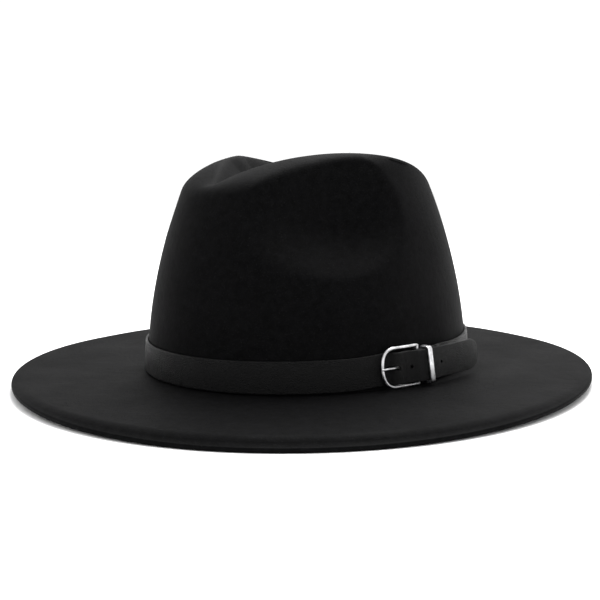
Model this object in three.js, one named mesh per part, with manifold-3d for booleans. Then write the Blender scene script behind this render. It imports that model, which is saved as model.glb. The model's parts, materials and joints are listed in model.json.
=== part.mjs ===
// A wide-brimmed fedora: one blocked felt body, and a leather strap buckled round its crown.
// Millimetres, +Z up. The front of the hat faces -Y and the buckle sits on the wearer's left, +X.
// The hat rests on the edge of its brim, and the origin is on that surface under the brim's middle.
// The sizes below are counted from the middle of the crown, a little behind it.

import * as THREE from 'three';
import { mergeVertices } from 'three/addons/utils/BufferGeometryUtils.js';
import Module from 'manifold-3d';

const wasm = await Module();
wasm.setup();

const { degToRad, radToDeg, clamp, lerp, smoothstep } = THREE.MathUtils;
const vec = (x, y, z) => new THREE.Vector3(x, y, z);
const SAME_POINT = 1e-4;

// Felt body: the brim, then the crown up to the rim of its dent
const FELT = 2.4;
const BRIM = {
  x: 157.1, y: 170.8, centreY: -1.9, top: 6.2,
  edge: 2.5, edgeRadius: 1, restWidth: 2, underFrom: 2.5,
};

// The soft brim turns down towards its edge, to the table at the front left and the back right
const DROOP = { depth: 3.7, at: degToRad(46.6), flatHalf: degToRad(12), width: 14 };
const CROWN_BASE = { x: 85, y: 100, z: 6.5, fold: 0.8 };
const CROWN_WALL = { x: 58.6, y: 81, centreY: -0.9, bow: 9.5, belowRim: 8.2 };

// The teardrop rim: pointed at the front, round at the back, highest at the sides
const RIM = {
  halfWidth: 71.2, point: 1.21, tipSoftness: 0.16,
  centreY: -12.1, frontY: -70.8, backY: 49.9,
  peak: 128.4, frontDrop: 19.2, frontPower: 4.45, backDrop: 20.9, backPower: 3.6,
};
const DENT = { floor: 100, softness: 0.3 };

// The two finger pinches, mirrored on the left and right of the front
const PINCH = { at: 57, depth: 18, halfAngle: 36, z: 95.5, halfHeight: 34, power: 1.5 };

// Where one stretch of the crown's profile gives way to the next, as a share of its whole run
const SHARE = { wall: 0.42, rim: 0.62, pinchGone: 0.95 };
const COUNT = {
  spokes: 76, edge: 2, droop: 3, brim: 2, fold: 2, wall: 9, shoulder: 4, dent: 7, strap: 64,
};

// Leather strap: height of its middle above the table, and how far it stands off the felt
const STRAP = {
  width: 16.4, thick: 1.4, middle: 16,
  buckleRise: 1.3, riseFlat: 6, riseReach: 42, backTilt: 0.009, foldSteps: 8,
};
const GAP = 0.3;
const HUG = GAP + STRAP.thick / 2;

// Buckle: distances along the crown are counted from the heel bar, positive towards the back
const HEEL_ANGLE = degToRad(86.9);
const BUCKLE_Z = 17.3;
const WIRE = 0.85;
const FRAME = { length: 23.2, height: 19.8, straight: 15.5, cornerIn: 0.7, roundTop: 0.71, roundSide: 0.6 };
const FRAME_COUNT = { path: 44, round: 8, bend: 6 };
const PRONG = {
  radius: 0.6, past: 1.1, tipDrop: 0.5,
  eyeFrom: 165, eyeTo: -90, eyeStep: 30, steps: 22, sides: 6,
};
const KEEPER = { at: 4.4, width: 3, metal: 1, lean: 0.08, corner: 0.5, outerCorner: 1.05, play: 0.4 };
const FRAME_H = GAP + STRAP.thick + GAP + WIRE;
const FOLD_RADIUS = WIRE + GAP + STRAP.thick / 2;
const OVER_BAR = 6.5;
const HOLE = {
  radius: 0.9, places: [-7, 13.4], slotAt: -16.8, slotLength: 6, slotWidth: 2,
  depth: 9.5, arcSteps: 6,
};
const EYE_ROOM = { along: 5.8, height: 2.2, off: 5.5, shift: -0.2 };

// The strap's route beside the buckle: distance along the crown and height off the felt.
// First the folded end, from the tip of its flap round the heel bar and back down to the felt.
const FLAP = [
  { along: 13, off: HUG },
  { along: 8, off: HUG },
  { along: 3, off: HUG },
];
const LEAVING = [
  { along: 3, off: 4.7 },
  { along: 7.2, off: 4.7 },
  { along: 10, off: 3.8 },
  { along: 12.8, off: 2.75 },
  { along: 15, off: 2.7 },
  { along: 18, off: 1.8 },
  { along: 21, off: HUG },
];
// Then the free end, under the curved bar, over the heel bar and out as the tail.
const ENTERING = [
  { along: -26, off: HUG },
  { along: -19.8, off: HUG },
  { along: -18.4, off: 1.3 },
  { along: -17.4, off: 2.3 },
  { along: -16.6, off: 3.4 },
  { along: -15.7, off: 4.3 },
  { along: -14, off: 4.8 },
  { along: -10, off: 4.55 },
  { along: -6, off: 5.2 },
  { along: -3, off: 6.2 },
  { along: 0, off: OVER_BAR },
  { along: 6, off: OVER_BAR },
  { along: 12, off: 6.6 },
  { along: 20, off: 7.1 },
  { along: 30, off: 8.2 },
  { along: 38, off: 9.3 },
];
const TAIL = { end: 48, tipLength: 9, rise: 0.13, tipHalf: 1.6, tipSteps: 5 };

// A point on an ellipse of the hat, by its angle from the front towards +X
function onEllipse(angle, x, y, z, centreY = 0) {
  return vec(x * Math.sin(angle), centreY - y * Math.cos(angle), z);
}

// The outward direction of that ellipse, level with the ground
function outward(angle, x, y) {
  return vec(Math.sin(angle) / x, -Math.cos(angle) / y, 0).normalize();
}

// Height of the rim's crest over each direction
function rimHeight(angle) {
  const front = (1 + Math.cos(angle)) / 2;
  const back = (1 - Math.cos(angle)) / 2;
  return RIM.peak - RIM.frontDrop * front ** RIM.frontPower - RIM.backDrop * back ** RIM.backPower;
}

// The rim's crest, a teardrop seen from above
function rimPoint(angle) {
  const front = (1 + Math.cos(angle)) / 2;
  const reach = lerp(RIM.backY - RIM.centreY, RIM.centreY - RIM.frontY, front);
  const narrowing = Math.hypot(Math.sin(angle / 2), RIM.tipSoftness) ** RIM.point;
  return vec(
    RIM.halfWidth * Math.sin(angle) * narrowing,
    RIM.centreY - reach * Math.cos(angle),
    rimHeight(angle),
  );
}

// The slightly bowed wall of the crown, from the brim up to just under the rim
function wallCurve(angle) {
  const foot = onEllipse(angle, CROWN_BASE.x, CROWN_BASE.y, CROWN_BASE.z);
  const head = onEllipse(
    angle, CROWN_WALL.x, CROWN_WALL.y, rimHeight(angle) - CROWN_WALL.belowRim, CROWN_WALL.centreY,
  );
  const away = vec(head.x, head.y - CROWN_WALL.centreY, 0).setLength(CROWN_WALL.bow);
  const middle = foot.clone().add(head).multiplyScalar(0.5).add(away);
  return new THREE.QuadraticBezierCurve3(foot, middle, head);
}

// The shoulder that rolls over from the wall to the rim
function shoulderCurve(angle) {
  const roundness = 0.5523;
  const wall = wallCurve(angle);
  const rim = rimPoint(angle);
  const climb = wall.v2.clone().sub(wall.v1);
  climb.multiplyScalar((CROWN_WALL.belowRim * roundness) / climb.z);
  const level = vec(wall.v2.x - rim.x, wall.v2.y - rim.y, 0).multiplyScalar(roundness);
  return new THREE.CubicBezierCurve3(wall.v2, wall.v2.clone().add(climb), rim.clone().add(level), rim);
}

// The dented top, from the rim down to the floor of the teardrop
function dentPoint(angle, run) {
  const rim = rimPoint(angle);
  const soft = DENT.softness ** 2;
  const fall = (run * run * (1 + soft)) / (run * run + soft);
  return vec(lerp(rim.x, 0, run), lerp(rim.y, RIM.centreY, run), lerp(rim.z, DENT.floor, fall));
}

// How far the pinches press in at a point of the unpressed crown
function pinchAt(point, height) {
  const angle = radToDeg(Math.atan2(Math.abs(point.x), -point.y));
  const across = (angle - PINCH.at) / PINCH.halfAngle;
  const up = (height - PINCH.z) / PINCH.halfHeight;
  return PINCH.depth * Math.max(0, 1 - across * across - up * up) ** PINCH.power;
}

// A point of the crown's outer face, share 0 at the brim to 1 at the middle of the dent
function crownPoint(angle, share) {
  let point;
  if (share <= SHARE.wall) {
    point = wallCurve(angle).getPoint(share / SHARE.wall);
  } else if (share <= SHARE.rim) {
    point = shoulderCurve(angle).getPoint((share - SHARE.wall) / (SHARE.rim - SHARE.wall));
  } else {
    point = dentPoint(angle, (share - SHARE.rim) / (1 - SHARE.rim));
  }
  const height = share > SHARE.rim ? rimHeight(angle) : point.z;
  const press = pinchAt(point, height) * (1 - smoothstep(share, SHARE.rim, SHARE.pinchGone));
  const inward = vec(-point.x, -point.y, 0);
  return inward.lengthSq() > 0 ? point.add(inward.setLength(press)) : point;
}

// The crown's wall at a given height, where the strap lies
function wallAt(angle, height) {
  const top = rimHeight(angle) - CROWN_WALL.belowRim;
  return wallCurve(angle).getPoint((height - CROWN_BASE.z) / (top - CROWN_BASE.z));
}

// Height of the brim's lower edge above the table, where the brim touches it or stands clear
function edgeLift(angle) {
  const clear = Math.sin(angle - DROOP.at) ** 2 - Math.sin(DROOP.flatHalf) ** 2;
  return DROOP.depth * Math.max(0, clear) / Math.cos(DROOP.flatHalf) ** 2;
}

// A point of the brim at its edge, moved in from it
function brimPoint(angle, inset, z) {
  const edge = onEllipse(angle, BRIM.x, BRIM.y, z, BRIM.centreY);
  return edge.addScaledVector(outward(angle, BRIM.x, BRIM.y), -inset);
}

// The cut edge of the brim, from its lower corner over to the brim's top face
function edgePoints(angle) {
  const points = [brimPoint(angle, 0, edgeLift(angle))];
  for (let i = 0; i <= COUNT.edge; i++) {
    const turn = (i / COUNT.edge) * (Math.PI / 2);
    const up = BRIM.edge - BRIM.edgeRadius * (1 - Math.sin(turn));
    points.push(brimPoint(angle, BRIM.edgeRadius * (1 - Math.cos(turn)), edgeLift(angle) + up));
  }
  return points;
}

// One spoke of the felt's upper face, from the brim's edge in to the crown and up to the dent
function feltSpoke(angle) {
  const points = [];
  const fall = BRIM.top - BRIM.edge - edgeLift(angle);
  for (let i = 0; i <= COUNT.droop; i++) {
    const inset = lerp(BRIM.underFrom, DROOP.width, i / COUNT.droop);
    const share = (DROOP.width - inset) / (DROOP.width - BRIM.edgeRadius);
    points.push(brimPoint(angle, inset, BRIM.top - fall * share ** 2));
  }
  const droopEnd = points[points.length - 1];
  const foot = wallAt(angle, CROWN_BASE.z).setZ(BRIM.top);
  const crownOut = outward(angle, CROWN_BASE.x, CROWN_BASE.y);
  const foldStart = foot.clone().addScaledVector(crownOut, CROWN_BASE.fold);
  for (let i = 1; i <= COUNT.brim; i++) points.push(droopEnd.clone().lerp(foldStart, i / COUNT.brim));
  const foldEnd = wallAt(angle, CROWN_BASE.z + CROWN_BASE.fold);
  const fold = new THREE.QuadraticBezierCurve3(foldStart, foot, foldEnd);
  for (let i = 1; i <= COUNT.fold; i++) points.push(fold.getPoint(i / COUNT.fold));
  const wallStart = CROWN_BASE.fold / (rimHeight(angle) - CROWN_WALL.belowRim - CROWN_BASE.z);
  for (let i = 1; i <= COUNT.wall; i++) {
    points.push(crownPoint(angle, SHARE.wall * lerp(wallStart, 1, i / COUNT.wall)));
  }
  for (let i = 1; i <= COUNT.shoulder; i++) {
    points.push(crownPoint(angle, lerp(SHARE.wall, SHARE.rim, i / COUNT.shoulder)));
  }
  for (let i = 1; i < COUNT.dent; i++) points.push(crownPoint(angle, lerp(SHARE.rim, 1, i / COUNT.dent)));
  return points;
}

// The outward direction of the felt at one place of its net of spokes
function feltNormal(spokes, i, row) {
  const n = spokes.length;
  const rows = spokes[i].length;
  const round = spokes[(i + 1) % n][row].clone().sub(spokes[(i + n - 1) % n][row]);
  const up = spokes[i][Math.min(row + 1, rows - 1)].clone().sub(spokes[i][Math.max(row - 1, 0)]);
  return round.cross(up).normalize();
}

// Skins rings of points into a closed body; a ring of one point is a pole
function skin(rings, closed = false) {
  const positions = [];
  const starts = [];
  for (const ring of rings) {
    starts.push(positions.length / 3);
    for (const p of ring) positions.push(p.x, p.y, p.z);
  }
  const faces = [];
  const strips = closed ? rings.length : rings.length - 1;
  for (let r = 0; r < strips; r++) {
    const next = (r + 1) % rings.length;
    const count = Math.max(rings[r].length, rings[next].length);
    for (let i = 0; i < count; i++) {
      const a = starts[r] + (i % rings[r].length);
      const b = starts[r] + ((i + 1) % rings[r].length);
      const c = starts[next] + (i % rings[next].length);
      const d = starts[next] + ((i + 1) % rings[next].length);
      if (a !== b) faces.push(a, b, d);
      if (c !== d) faces.push(a, d, c);
    }
  }
  const caps = closed ? [] : [[0, true], [rings.length - 1, false]];
  for (const [r, flip] of caps) {
    for (let i = 1; i + 1 < rings[r].length; i++) {
      const fan = [starts[r], starts[r] + i, starts[r] + i + 1];
      faces.push(...(flip ? fan.reverse() : fan));
    }
  }
  return facingOut(new THREE.BufferGeometry()
    .setAttribute('position', new THREE.Float32BufferAttribute(positions, 3))
    .setIndex(faces));
}

// Turns a body's faces outwards where its volume comes out negative
function facingOut(geometry) {
  const at = geometry.getAttribute('position');
  const index = geometry.getIndex().array;
  const [a, b, c] = [vec(0, 0, 0), vec(0, 0, 0), vec(0, 0, 0)];
  let volume = 0;
  for (let i = 0; i < index.length; i += 3) {
    a.fromBufferAttribute(at, index[i]);
    b.fromBufferAttribute(at, index[i + 1]);
    c.fromBufferAttribute(at, index[i + 2]);
    volume += a.dot(b.cross(c));
  }
  if (volume < 0) index.reverse();
  return geometry;
}

// The felt body: the upper face from the dent down to the edge, then the lower face back up
function feltGeometry() {
  const angles = Array.from({ length: COUNT.spokes }, (_, i) => (i / COUNT.spokes) * 2 * Math.PI);
  const spokes = angles.map(feltSpoke);
  const edges = angles.map(edgePoints);
  const edge = edges[0].map((_, row) => edges.map((points) => points[row]));
  const rest = angles.map((angle) => brimPoint(angle, BRIM.restWidth, edgeLift(angle)));
  const upper = spokes[0].map((_, row) => spokes.map((spoke) => spoke[row]));
  const lower = spokes[0].map((_, row) => spokes.map((spoke, i) => (
    spoke[row].clone().addScaledVector(feltNormal(spokes, i, row), -FELT)
  )));
  const top = [vec(0, RIM.centreY, DENT.floor)];
  const underTop = [vec(0, RIM.centreY, DENT.floor - FELT)];
  return skin([top, ...upper.reverse(), ...edge.reverse(), rest, ...lower, underTop]);
}

// A place beside the crown: along the wall from the heel bar, off the felt, and its height
function beside(along, off, height) {
  const angle = HEEL_ANGLE + along / CROWN_BASE.y;
  return wallAt(angle, height).addScaledVector(outward(angle, CROWN_BASE.x, CROWN_BASE.y), off);
}

// Height of the strap's middle: a little higher at the back, and lifted where it is buckled
function strapMiddle(along, isTail) {
  const y = beside(along, 0, STRAP.middle).y;
  const near = isTail ? 1 : 1 - smoothstep(Math.abs(along), STRAP.riseFlat, STRAP.riseReach);
  return STRAP.middle + lerp(STRAP.backTilt * y, STRAP.buckleRise, near);
}

// The strap's route, from the flap's end round the heel bar, round the crown and out to the tail
function strapRoute() {
  const fullTurn = 2 * Math.PI * CROWN_BASE.y;
  const route = FLAP.map(({ along, off }) => ({ along, off, turn: 0 }));
  for (let i = 0; i <= STRAP.foldSteps; i++) {
    const swing = (i / STRAP.foldSteps) * Math.PI;
    const along = -FOLD_RADIUS * Math.sin(swing);
    const off = FRAME_H - FOLD_RADIUS * Math.cos(swing);
    route.push({ along, off, turn: 0 });
  }
  for (const { along, off } of LEAVING) route.push({ along, off, turn: 0 });
  const start = LEAVING[LEAVING.length - 1].along;
  const end = fullTurn + ENTERING[0].along;
  for (let i = 1; i < COUNT.strap; i++) {
    route.push({ along: lerp(start, end, i / COUNT.strap), off: HUG, turn: 0 });
  }
  for (const { along, off } of ENTERING) route.push({ along: along + fullTurn, off, turn: fullTurn });
  const last = ENTERING[ENTERING.length - 1];
  for (let i = 1; i <= TAIL.tipSteps; i++) {
    const along = lerp(last.along, TAIL.end, Math.sin((i / TAIL.tipSteps) * (Math.PI / 2)));
    route.push({ along: along + fullTurn, off: last.off + (along - last.along) * TAIL.rise, turn: fullTurn });
  }
  return route;
}

// Half the strap's width, rounded away at the tail's tip
function strapHalfWidth(place) {
  const half = STRAP.width / 2;
  const into = place.turn > 0 ? place.along - place.turn - (TAIL.end - TAIL.tipLength) : 0;
  const left = Math.sqrt(Math.max(0, 1 - clamp(into / TAIL.tipLength, 0, 1) ** 2));
  return lerp(TAIL.tipHalf, half, left);
}

// The strap as a closed ribbon, before its holes are punched
function ribbonGeometry() {
  const route = strapRoute();
  const fullTurn = 2 * Math.PI * CROWN_BASE.y;
  const rings = route.map((place, i) => {
    const before = route[Math.max(i - 1, 0)];
    const after = route[Math.min(i + 1, route.length - 1)];
    const slope = Math.hypot(after.along - before.along, after.off - before.off);
    const side = {
      along: (-(after.off - before.off) / slope) * (STRAP.thick / 2),
      off: ((after.along - before.along) / slope) * (STRAP.thick / 2),
    };
    const fromBar = place.along > fullTurn / 2 ? place.along - fullTurn : place.along;
    const middle = strapMiddle(fromBar, place.turn > 0 && fromBar > 0);
    const half = strapHalfWidth(place);
    return [[-1, -1], [1, -1], [1, 1], [-1, 1]].map(([face, rim]) => beside(
      place.along + face * side.along, place.off + face * side.off, middle + rim * half,
    ));
  });
  return skin(rings);
}

// A straight-sided cutter through the strap, its long way along the crown
function strapCutter(along, height, length, width) {
  const shape = new THREE.Shape();
  const straight = (length - width) / 2;
  shape.absarc(straight, 0, width / 2, -Math.PI / 2, Math.PI / 2);
  shape.absarc(-straight, 0, width / 2, Math.PI / 2, Math.PI * 1.5);
  const depth = { depth: HOLE.depth, bevelEnabled: false, curveSegments: HOLE.arcSteps };
  const cutter = new THREE.ExtrudeGeometry(shape, depth);
  const angle = HEEL_ANGLE + along / CROWN_BASE.y;
  const out = outward(angle, CROWN_BASE.x, CROWN_BASE.y);
  const up = vec(0, 0, 1);
  const round = up.clone().cross(out);
  cutter.applyMatrix4(new THREE.Matrix4().makeBasis(round, up, out));
  const from = beside(along, 0, height);
  return cutter.translate(from.x, from.y, from.z);
}

// A geometry as a solid that can be joined or cut
function toSolid(geometry) {
  const bare = geometry.clone();
  bare.deleteAttribute('normal');
  bare.deleteAttribute('uv');
  const merged = mergeVertices(bare, SAME_POINT);
  return new wasm.Manifold(new wasm.Mesh({
    numProp: 3,
    vertProperties: new Float32Array(merged.getAttribute('position').array),
    triVerts: new Uint32Array(merged.getIndex().array),
  }));
}

function toGeometry(solid) {
  const mesh = solid.getMesh();
  return new THREE.BufferGeometry()
    .setAttribute('position', new THREE.Float32BufferAttribute(mesh.vertProperties, 3))
    .setIndex([...mesh.triVerts]);
}

// The strap with its punched holes, the prong's slot and the slot in the fold at the heel bar
function strapGeometry() {
  const bore = 2 * HOLE.radius;
  const holes = HOLE.places.map((along) => strapCutter(along, BUCKLE_Z, bore, bore));
  holes.push(strapCutter(HOLE.slotAt, BUCKLE_Z, HOLE.slotLength, HOLE.slotWidth));
  let strap = toSolid(ribbonGeometry());
  for (const hole of holes) strap = strap.subtract(toSolid(hole));
  const eyeRoom = new THREE.BoxGeometry(EYE_ROOM.along, EYE_ROOM.height, EYE_ROOM.off);
  const out = outward(HEEL_ANGLE, CROWN_BASE.x, CROWN_BASE.y);
  const up = vec(0, 0, 1);
  eyeRoom.applyMatrix4(new THREE.Matrix4().makeBasis(up.clone().cross(out), up, out));
  const middle = beside(EYE_ROOM.shift, FRAME_H, BUCKLE_Z);
  strap = strap.subtract(toSolid(eyeRoom.translate(middle.x, middle.y, middle.z)));
  return toGeometry(strap);
}

// The D-shaped wire frame, lying level with the felt's wall
function frameGeometry() {
  const half = FRAME.height / 2;
  const flat = (x, y) => new THREE.Vector2(x, y);
  const bend = new THREE.CubicBezierCurve(
    flat(-FRAME.straight, half),
    flat(lerp(-FRAME.straight, -FRAME.length, FRAME.roundTop), half),
    flat(-FRAME.length, half * FRAME.roundSide),
    flat(-FRAME.length, 0),
  );
  const top = [flat(0, half / 2), flat(0, half - FRAME.cornerIn), flat(-FRAME.cornerIn, half)];
  top.push(flat(-FRAME.straight / 2, half), ...bend.getPoints(FRAME_COUNT.bend));
  const bottom = top.slice(0, -1).reverse().map((p) => flat(p.x, -p.y));
  const points = [...top, ...bottom].map((p) => beside(p.x, FRAME_H, BUCKLE_Z + p.y));
  const path = new THREE.CatmullRomCurve3(points, true, 'centripetal');
  const tube = new THREE.TubeGeometry(path, FRAME_COUNT.path, WIRE, FRAME_COUNT.round, true);
  tube.deleteAttribute('normal');
  tube.deleteAttribute('uv');
  return facingOut(mergeVertices(tube, SAME_POINT));
}

// Rings of the prong's wire along its points
function wireRings(points) {
  const path = new THREE.CatmullRomCurve3(points, false, 'centripetal');
  const frames = path.computeFrenetFrames(PRONG.steps, false);
  const rings = [];
  for (let i = 0; i <= PRONG.steps; i++) {
    const centre = path.getPointAt(i / PRONG.steps);
    const ring = [];
    for (let j = 0; j < PRONG.sides; j++) {
      const turn = (j / PRONG.sides) * 2 * Math.PI;
      ring.push(centre.clone()
        .addScaledVector(frames.normals[i], Math.cos(turn) * PRONG.radius)
        .addScaledVector(frames.binormals[i], Math.sin(turn) * PRONG.radius));
    }
    rings.push(ring);
  }
  return rings;
}

// The prong: an eye round the heel bar, then a straight wire that rests over the curved bar
function prongGeometry() {
  const eye = WIRE + GAP + PRONG.radius;
  const points = [];
  for (let degrees = PRONG.eyeFrom; degrees >= PRONG.eyeTo; degrees -= PRONG.eyeStep) {
    const turn = degToRad(degrees);
    points.push(beside(eye * Math.cos(turn), FRAME_H + eye * Math.sin(turn), BUCKLE_Z));
  }
  for (const share of [0.2, 0.5, 0.8, 1]) {
    points.push(beside(-FRAME.length * share, lerp(FRAME_H - eye, FRAME_H + eye, share), BUCKLE_Z));
  }
  points.push(beside(-FRAME.length - PRONG.past, FRAME_H + eye - PRONG.tipDrop / 2, BUCKLE_Z));
  return skin(wireRings(points));
}

// A rectangle with its corners cut off: from low to high off the felt, and half its height up and down
function cutRectangle(low, high, half, corner) {
  return [
    [high - corner, half], [high, half - corner],
    [high, corner - half], [high - corner, -half],
    [low + corner, -half], [low, corner - half],
    [low, half - corner], [low + corner, half],
  ];
}

// The flat metal keeper loop round the tail and the strap under it
function keeperGeometry() {
  const { metal, play } = KEEPER;
  const low = FRAME_H + metal / 2;
  const high = OVER_BAR + STRAP.thick / 2 + play;
  const half = STRAP.width / 2 + play;
  const inner = cutRectangle(low, high, half, KEEPER.corner);
  const outer = cutRectangle(low - metal, high + metal, half + metal, KEEPER.outerCorner);
  const near = KEEPER.at - KEEPER.width / 2;
  const far = KEEPER.at + KEEPER.width / 2;
  const at = (along, [off, up]) => beside(along - KEEPER.lean * up, off, BUCKLE_Z + up);
  const rings = inner.map((point, i) => (
    [at(near, point), at(far, point), at(far, outer[i]), at(near, outer[i])]
  ));
  return skin(rings, true);
}

// A named piece, moved so that the middle of the brim is over the origin
function named(name, geometry, look) {
  geometry.translate(0, -BRIM.centreY, 0);
  const mesh = new THREE.Mesh(geometry, new THREE.MeshStandardMaterial(look));
  mesh.name = name;
  return mesh;
}

const felt = { color: 0x17171a, roughness: 0.95, metalness: 0 };
const leather = { color: 0x121214, roughness: 0.5, metalness: 0 };
const steel = { color: 0xc8c8ca, roughness: 0.25, metalness: 1 };

const buckle = new THREE.Group();
buckle.add(named('buckle_frame', frameGeometry(), steel));
buckle.add(named('buckle_prong', prongGeometry(), steel));
buckle.add(named('keeper_loop', keeperGeometry(), steel));

const hat = new THREE.Group();
hat.add(named('felt_crown_and_brim', feltGeometry(), felt));
hat.add(named('leather_strap', strapGeometry(), leather));
hat.add(buckle);

export default hat;
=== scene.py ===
# %% [markdown]
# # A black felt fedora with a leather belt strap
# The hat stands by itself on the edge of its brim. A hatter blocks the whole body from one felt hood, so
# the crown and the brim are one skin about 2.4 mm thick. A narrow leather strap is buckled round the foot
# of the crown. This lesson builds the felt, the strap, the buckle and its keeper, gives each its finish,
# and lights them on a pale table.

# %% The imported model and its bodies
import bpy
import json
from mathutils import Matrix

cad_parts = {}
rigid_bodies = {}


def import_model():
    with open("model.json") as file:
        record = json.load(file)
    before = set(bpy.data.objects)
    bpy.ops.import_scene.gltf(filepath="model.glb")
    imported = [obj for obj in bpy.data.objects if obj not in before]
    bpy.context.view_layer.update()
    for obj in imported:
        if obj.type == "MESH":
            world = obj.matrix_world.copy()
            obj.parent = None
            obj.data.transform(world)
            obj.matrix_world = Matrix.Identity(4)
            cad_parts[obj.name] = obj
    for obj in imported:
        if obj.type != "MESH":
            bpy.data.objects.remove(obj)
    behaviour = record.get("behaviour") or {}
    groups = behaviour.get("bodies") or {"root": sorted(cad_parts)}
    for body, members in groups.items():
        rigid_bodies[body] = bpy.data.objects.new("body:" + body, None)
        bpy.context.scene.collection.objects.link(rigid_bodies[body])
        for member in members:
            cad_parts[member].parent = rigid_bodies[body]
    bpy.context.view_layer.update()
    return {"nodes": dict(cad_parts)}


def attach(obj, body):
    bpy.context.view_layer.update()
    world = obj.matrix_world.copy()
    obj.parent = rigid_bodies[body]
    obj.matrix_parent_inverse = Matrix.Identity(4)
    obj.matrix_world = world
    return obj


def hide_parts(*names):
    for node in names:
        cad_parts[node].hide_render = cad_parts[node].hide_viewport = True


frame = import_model()

import json
import math

import bpy
import numpy as np
from mathutils import Matrix, Vector

MM = 0.001
print("CAD nodes:", sorted(frame["nodes"]))

# %% [markdown]
# The camera comes first, because everything else is judged through it. It looks at the hat from its
# front left and only a little above the brim, as one looks at a hat on a shelf at eye level. Three small
# turns point it so that the hat sits in the picture where it should. It aims at the crown, whose middle
# lies a little behind the middle of the brim, where the origin is. Angles are in degrees, lengths in
# millimetres and the small turns aside and up in radians.

# %% The camera
CAMERA = {"azimuth": 46.6, "elevation": 7, "distance": 522, "target_height": 50}
CAMERA_TURN = {"aside": -0.0127, "up": -0.0167, "roll": 0.147}
CROWN_BACK = 1.9
LENS = {"focal_length": 53.1, "sensor": 36, "clip_start": 10}


# Where the camera stands and how it is turned
def camera_matrix():
    azimuth = math.radians(CAMERA["azimuth"])
    elevation = math.radians(CAMERA["elevation"])
    back = Vector((
        math.sin(azimuth) * math.cos(elevation),
        -math.cos(azimuth) * math.cos(elevation),
        math.sin(elevation),
    ))
    place = Vector((0, CROWN_BACK, CAMERA["target_height"])) + back * CAMERA["distance"]
    up = Vector((0, 0, 1))
    right = (-back).cross(up).normalized()
    upward = right.cross(-back)
    aside = math.tan(CAMERA_TURN["aside"]) * right
    above = math.tan(CAMERA_TURN["up"]) * upward
    forward = (-back + aside + above).normalized()
    right = forward.cross(up).normalized()
    upward = right.cross(forward)
    roll = math.radians(CAMERA_TURN["roll"])
    turned_right = math.cos(roll) * right + math.sin(roll) * upward
    turned_up = math.cos(roll) * upward - math.sin(roll) * right
    turn = Matrix((turned_right, turned_up, -forward)).transposed().to_4x4()
    return Matrix.Translation(place * MM) @ turn


scene = bpy.context.scene
camera_data = bpy.data.cameras.new("camera")
camera_data.sensor_width = LENS["sensor"]
camera_data.lens = LENS["focal_length"]
camera_data.clip_start = LENS["clip_start"] * MM
camera = bpy.data.objects.new("camera", camera_data)
camera.matrix_world = camera_matrix()
scene.collection.objects.link(camera)
scene.camera = camera
print("camera at", [round(x, 3) for x in camera.location])

# %% [markdown]
# Small helpers that every piece uses. The hat's points are counted in millimetres from the middle of the
# crown, so one helper moves them into the model's frame and another turns them into a mesh. The others
# start a material, and add a node with its settings filled in by name. The scale of a noise is in cells
# per metre, and most of its values lie in NOISE_SPAN. A relief is a strength and a depth in metres. A mix
# node has other sockets for colours than for places, and they go by number.

# %% Helpers for meshes


# Points in the model's frame, from millimetres round the crown's middle
def placed(points):
    return (np.asarray(points, float) + (0, CROWN_BACK, 0)) * MM


# A new object from points and faces
def new_piece(name, points, faces, material=None, edges=()):
    mesh = bpy.data.meshes.new(name)
    mesh.from_pydata([tuple(p) for p in placed(points)], edges, faces)
    mesh.validate()
    mesh.shade_smooth()
    if material:
        mesh.materials.append(material)
    piece = bpy.data.objects.new(name, mesh)
    scene.collection.objects.link(piece)
    return piece


# %% Helpers for materials
NOISE_SPAN = (0.3, 0.7)
COLOUR_MIX = {"kind": "RGBA", "first": 6, "second": 7, "result": 2}
VECTOR_MIX = {"kind": "VECTOR", "first": 4, "second": 5, "result": 1}


# A new material, with its node tree and its shader
def new_material(name):
    material = bpy.data.materials.new(name)
    material.use_nodes = True
    return material, material.node_tree, material.node_tree.nodes["Principled BSDF"]


# Fixed values on a shader's own sockets
def set_finish(shader, finish):
    for socket, value in finish.items():
        shader.inputs[socket].default_value = value


# A node with its settings, and with values or links on its inputs
def add_node(tree, kind, inputs=None, **settings):
    node = tree.nodes.new(kind)
    for key, value in settings.items():
        setattr(node, key, value)
    for key, value in (inputs or {}).items():
        if isinstance(value, bpy.types.NodeSocket):
            tree.links.new(value, node.inputs[key])
        else:
            node.inputs[key].default_value = value
    return node


# A soft random pattern
def noise(tree, place, scale, detail, roughness=0.55, distortion=0.0, output="Fac"):
    return add_node(tree, "ShaderNodeTexNoise", {
        "Vector": place, "Scale": scale, "Detail": detail, "Roughness": roughness, "Distortion": distortion,
    }).outputs[output]


# A value moved from one range into another
def map_range(tree, value, low, high, to_low, to_high):
    return add_node(tree, "ShaderNodeMapRange", {
        "Value": value, "From Min": low, "From Max": high, "To Min": to_low, "To Max": to_high,
    }).outputs["Result"]


# Two colours or two places mixed by a share
def mixed(tree, sockets, share, first, second):
    node = add_node(tree, "ShaderNodeMix", {
        "Factor": share, sockets["first"]: first, sockets["second"]: second,
    }, data_type=sockets["kind"])
    return node.outputs[sockets["result"]]


# One step of arithmetic
def number_math(tree, operation, *numbers):
    return add_node(tree, "ShaderNodeMath", dict(enumerate(numbers)), operation=operation).outputs[0]


# One step of arithmetic on directions
def vector_math(tree, operation, inputs):
    return add_node(tree, "ShaderNodeVectorMath", inputs, operation=operation).outputs[0]


# Small relief from a height
def bump(tree, height, strength, distance, normal=None):
    inputs = {"Height": height, "Strength": strength, "Distance": distance}
    if normal is not None:
        inputs["Normal"] = normal
    return add_node(tree, "ShaderNodeBump", inputs).outputs["Normal"]


# %% [markdown]
# What repeats or follows a path is grown by Geometry Nodes: the wires of the buckle and the nap of the
# felt. Each tree gets named inputs, ends in plain geometry with its material, and is turned into a mesh
# at once, so the finished piece carries no modifier.

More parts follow.
